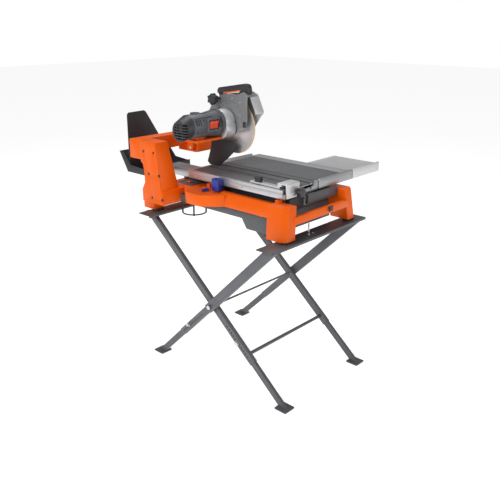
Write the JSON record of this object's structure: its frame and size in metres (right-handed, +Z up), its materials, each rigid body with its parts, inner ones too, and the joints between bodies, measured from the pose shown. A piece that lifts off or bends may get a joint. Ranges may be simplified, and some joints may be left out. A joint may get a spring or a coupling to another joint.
{
  "type": "tile cutter",
  "caption": "Wet tile cutter with a sliding table, a plunging motor head with a diamond blade, a side table and a folding height-adjustable stand.",
  "frame": {"origin": "middle of the whole part's outline in plan, on the floor", "axes": "+X to the operator's right, +Y away from the operator, +Z up"},
  "size_m": [0.924, 1.288, 1.352],
  "materials": {
    "leg_paint": "satin dark grey powder coat",
    "beam_paint": "satin black powder coat",
    "zinc_steel": "bright zinc",
    "orange_paint": "satin orange paint on a casting",
    "black_plastic": "matt black",
    "grey_plastic": "matt dark grey",
    "black_rubber": "matt black",
    "mat_rubber": "ribbed dark grey",
    "aluminium": "satin extruded",
    "fence_metal": "matt anodised",
    "motor_shell": "satin grey",
    "guard_metal": "satin dark grey metallic paint",
    "gear_metal": "cast, satin",
    "blade_steel": "ground steel, sandy rim",
    "blue_plastic": "moulded blue",
    "switch_red": "moulded red",
    "inner_iron": "bare",
    "orange_grip": "moulded orange"
  },
  "bodies": {
    "stand": {"inner_legs": "leg_paint", "rear_beam": "beam_paint", "cross_bar": "leg_paint", "pivot_rod": "zinc_steel"},
    "stand_outer": {"outer_legs": "leg_paint", "front_beam": "beam_paint"},
    "foot_front_left": {"front_leg_extension_left": "leg_paint"},
    "foot_front_right": {"front_leg_extension_right": "leg_paint"},
    "foot_rear_left": {"rear_leg_extension_left": "leg_paint"},
    "foot_rear_right": {"rear_leg_extension_right": "leg_paint"},
    "saw_base": {"base_frame": "orange_paint", "column_base": "orange_paint", "column_cover": "orange_paint", "cover_screws": "zinc_steel", "arm": "orange_paint", "water_pan": "grey_plastic", "pan_ring": "black_plastic", "water_pump": "black_plastic", "rear_tray": "black_plastic", "splash_guard": "black_plastic", "guide_beam": "aluminium", "beam_end_plate": "beam_paint", "guide_liner": "black_plastic", "base_feet": "black_rubber"},
    "table": {"table_rails": "aluminium", "table_plate": "aluminium", "table_mats": "mat_rubber", "front_apron": "fence_metal", "rear_fence": "aluminium"},
    "side_table": {"extension_table": "aluminium", "extension_rods": "zinc_steel"},
    "rip_guide": {"rip_guide": "aluminium"},
    "guide_knob": {"guide_knob": "black_plastic"},
    "rip_stop": {"rip_stop": "black_plastic"},
    "roller_fl": {"roller_front_left": "black_plastic"},
    "roller_fr": {"roller_front_right": "black_plastic"},
    "roller_rl": {"roller_rear_left": "black_plastic"},
    "roller_rr": {"roller_rear_right": "black_plastic"},
    "lock_lever": {"lock_lever": "blue_plastic"},
    "table_latch": {"table_latch": "blue_plastic"},
    "head": {"cradle": "orange_paint", "plunge_pin": "zinc_steel", "motor_housing": "motor_shell", "tail_cap": "black_plastic", "bearings": "inner_iron", "stator": "inner_iron", "gear_housing": "gear_metal", "guard_shell": "guard_metal", "guard_cover": "gear_metal", "guard_handle": "black_plastic", "handle_grip": "orange_grip", "splash_flap": "black_rubber"},
    "spindle": {"arbor": "zinc_steel", "blade": "blade_steel", "arbor_nut": "zinc_steel"},
    "rotor": {"rotor": "inner_iron"},
    "rocker": {"switch_rocker": "switch_red"},
    "knob_left": {"guard_knob_left": "black_plastic"},
    "knob_right": {"guard_knob_right": "black_plastic"},
    "height_knob": {"plunge_knob": "black_plastic"}
  },
  "joints": [
    {"name": "saw_lift", "type": "slide", "parent": "stand", "child": "saw_base", "axis": [0, 0, 1], "range_m": [0, 0.6]},
    {"name": "stand_fold", "type": "hinge", "parent": "stand", "child": "stand_outer", "pos_m": [-0.117, -0.176, 0.368], "axis": [1, 0, 0], "range_deg": [-83, 0]},
    {"name": "front_left_leg", "type": "slide", "parent": "stand", "child": "foot_front_left", "axis": [0, -0.7635, -0.6459], "range_m": [-0.08, 0.08]},
    {"name": "front_right_leg", "type": "slide", "parent": "stand", "child": "foot_front_right", "axis": [0, -0.7635, -0.6459], "range_m": [-0.08, 0.08]},
    {"name": "rear_left_leg", "type": "slide", "parent": "stand_outer", "child": "foot_rear_left", "axis": [0, 0.7109, -0.7033], "range_m": [-0.08, 0.08]},
    {"name": "rear_right_leg", "type": "slide", "parent": "stand_outer", "child": "foot_rear_right", "axis": [0, 0.7109, -0.7033], "range_m": [-0.08, 0.08]},
    {"name": "table_slide", "type": "slide", "parent": "saw_base", "child": "table", "axis": [0, 1, 0], "range_m": [0, 0.43]},
    {"name": "side_table_slide", "type": "slide", "parent": "table", "child": "side_table", "axis": [1, 0, 0], "range_m": [0, 0.12]},
    {"name": "rip_guide_slide", "type": "slide", "parent": "table", "child": "rip_guide", "axis": [1, 0, 0], "range_m": [0, 0.4]},
    {"name": "guide_knob_turn", "type": "hinge", "parent": "rip_guide", "child": "guide_knob", "pos_m": [-0.197, -0.506, 0.936], "axis": [0, -1, 0], "range_deg": [0, 270]},
    {"name": "rip_stop_slide", "type": "slide", "parent": "rip_guide", "child": "rip_stop", "axis": [0, 1, 0], "range_m": [-0.094, 0.016]},
    {"name": "lock_lever_turn", "type": "hinge", "parent": "saw_base", "child": "lock_lever", "pos_m": [-0.322, -0.064, 0.89], "axis": [0, 0, 1], "range_deg": [-90, 0]},
    {"name": "latch_slide", "type": "slide", "parent": "saw_base", "child": "table_latch", "axis": [1, 0, 0], "range_m": [0, 0.007]},
    {"name": "plunge", "type": "hinge", "parent": "saw_base", "child": "head", "pos_m": [-0.017, 0.279, 1.013], "axis": [1, 0, 0], "range_deg": [0, 14.2], "deforming": ["splash_flap"]},
    {"name": "blade_spin", "type": "hinge", "parent": "head", "child": "spindle", "pos_m": [-0.092, -0.029, 1.15], "axis": [1, 0, 0], "continuous": true},
    {"name": "rotor_spin", "type": "hinge", "parent": "head", "child": "rotor", "pos_m": [-0.217, -0.006, 1.1777], "axis": [1, 0, 0], "continuous": true},
    {"name": "rocker_tip", "type": "hinge", "parent": "head", "child": "rocker", "pos_m": [-0.265, -0.061, 1.182], "axis": [1, 0, 0], "range_deg": [0, 7]},
    {"name": "left_knob_turn", "type": "hinge", "parent": "head", "child": "knob_left", "pos_m": [-0.167, 0.044, 1.278], "axis": [1, 0, 0], "range_deg": [0, 270]},
    {"name": "right_knob_turn", "type": "hinge", "parent": "head", "child": "knob_right", "pos_m": [-0.029, -0.094, 1.277], "axis": [1, 0, 0], "range_deg": [0, 270]},
    {"name": "height_knob_turn", "type": "hinge", "parent": "head", "child": "height_knob", "pos_m": [-0.245, 0.084, 1.21], "axis": [0, 0, 1], "range_deg": [0, 270]},
    {"name": "roller_fl_spin", "type": "hinge", "parent": "saw_base", "child": "roller_fl", "pos_m": [-0.245, -0.456, 0.9002], "axis": [1, 0, 0], "range_deg": [-1900, 0]},
    {"name": "roller_fr_spin", "type": "hinge", "parent": "saw_base", "child": "roller_fr", "pos_m": [0.071, -0.456, 0.9002], "axis": [1, 0, 0], "range_deg": [-1900, 0]},
    {"name": "roller_rl_spin", "type": "hinge", "parent": "saw_base", "child": "roller_rl", "pos_m": [-0.245, -0.036, 0.9002], "axis": [1, 0, 0], "range_deg": [-1900, 0]},
    {"name": "roller_rr_spin", "type": "hinge", "parent": "saw_base", "child": "roller_rr", "pos_m": [0.071, -0.036, 0.9002], "axis": [1, 0, 0], "range_deg": [-1900, 0]}
  ],
  "couplings": [
    {"joint": "stand_fold", "follows": "saw_lift", "rad_per_m": -2.38},
    {"joint": "rotor_spin", "follows": "blade_spin", "ratio": -2},
    {"joint": "roller_fl_spin", "follows": "table_slide", "rad_per_m": -76.923},
    {"joint": "roller_fr_spin", "follows": "table_slide", "rad_per_m": -76.923},
    {"joint": "roller_rl_spin", "follows": "table_slide", "rad_per_m": -76.923},
    {"joint": "roller_rr_spin", "follows": "table_slide", "rad_per_m": -76.923}
  ]
}
